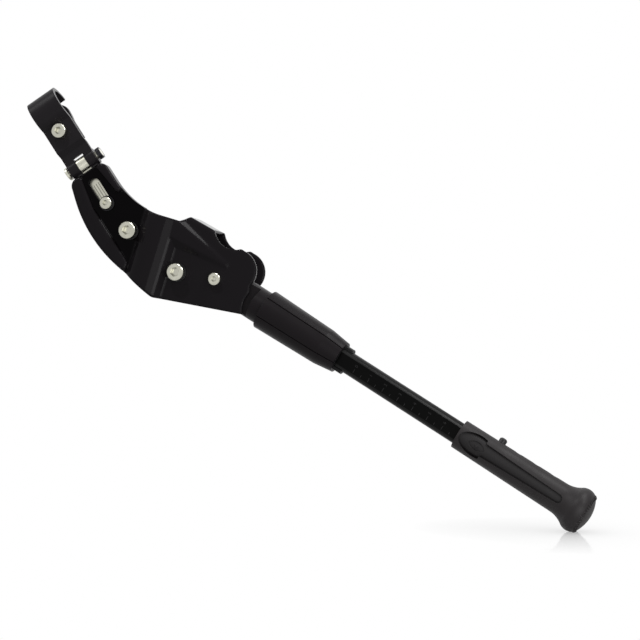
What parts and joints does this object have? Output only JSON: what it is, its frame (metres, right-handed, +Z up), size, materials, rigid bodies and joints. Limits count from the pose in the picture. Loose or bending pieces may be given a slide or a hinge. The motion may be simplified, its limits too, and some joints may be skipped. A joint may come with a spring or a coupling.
{
  "type": "bicycle kickstand",
  "caption": "Rear-mount bicycle kickstand: clamp bracket for the chainstay, swivelling seatstay hook on a sliding arm, and a folding leg with a telescoping foot.",
  "frame": {"origin": "on the chainstay's axis, midway between the two clamp bolts", "axes": "+X rearward along the chainstay, +Y inboard towards the wheel, +Z up"},
  "size_m": [0.1552, 0.0706, 0.3852],
  "materials": {
    "bracket_paint": "gloss black paint on pressed steel",
    "jaw_paint": "black paint on pressed steel",
    "strap_paint": "satin black paint on steel strip",
    "leg_paint": "satin dark grey paint on a casting",
    "tube_anodised": "black anodised tube",
    "bolt_steel": "bright plated socket screws",
    "washer_steel": "black oxide steel",
    "plated_steel": "zinc plated steel",
    "spring_steel": "spring steel",
    "pad_rubber": "black rubber",
    "bush_plastic": "black nylon",
    "foot_plastic": "dark grey moulded plastic",
    "button_plastic": "black plastic"
  },
  "bodies": {
    "bracket": {"bracket_plate": "bracket_paint", "frame_pad": "pad_rubber", "clamp_bolts": "bolt_steel", "clamp_washers": "washer_steel", "pivot_screw": "bolt_steel", "pivot_tube": "plated_steel", "pivot_nut": "plated_steel"},
    "jaw": {"clamp_jaw": "jaw_paint", "jaw_pad": "pad_rubber", "clamp_nuts": "plated_steel"},
    "slider": {"slider_arm": "plated_steel", "slot_screw": "bolt_steel", "slot_washer": "washer_steel", "slot_nut": "plated_steel", "hinge_pin": "plated_steel", "hinge_cap": "washer_steel"},
    "hook": {"hook_strap": "strap_paint", "strap_screw": "bolt_steel"},
    "rear_jaw": {"back_jaw": "strap_paint", "strap_nut": "plated_steel"},
    "leg": {"leg_head": "leg_paint", "leg_tube": "tube_anodised", "guide_bush": "bush_plastic", "grub_screw": "washer_steel", "detent_plunger": "plated_steel", "detent_spring": "spring_steel", "spring_seat": "plated_steel", "button_spring": "spring_steel"},
    "sliding_foot": {"foot": "foot_plastic"},
    "button": {"lock_button": "button_plastic"}
  },
  "joints": [
    {"name": "leg_fold", "type": "hinge", "parent": "bracket", "child": "leg", "pos_m": [-0.0049, 0, -0.0401], "axis": [0, -1, 0], "range_deg": [0, 99]},
    {"name": "foot_slide", "type": "slide", "parent": "leg", "child": "sliding_foot", "axis": [0.2496, 0.1392, 0.9583], "range_m": [0, 0.034]},
    {"name": "button_press", "type": "slide", "parent": "leg", "child": "button", "axis": [-0.9257, -0.2563, 0.2783], "range_m": [0, 0.0024], "stiffness_N_per_m": 400, "deforming": ["button_spring"]},
    {"name": "jaw_slide", "type": "slide", "parent": "bracket", "child": "jaw", "axis": [0, 1, 0], "range_m": [0, 0.006]},
    {"name": "arm_slide", "type": "slide", "parent": "bracket", "child": "slider", "axis": [0.6428, 0, 0.766], "range_m": [0, 0.012]},
    {"name": "clamp_swivel", "type": "hinge", "parent": "slider", "child": "hook", "pos_m": [0.03752, -0.0055, 0.05703], "axis": [-0.766, 0, 0.6428], "range_deg": [-20, 20]},
    {"name": "back_jaw_slide", "type": "slide", "parent": "hook", "child": "rear_jaw", "axis": [0, 1, 0], "range_m": [0, 0.004]}
  ]
}
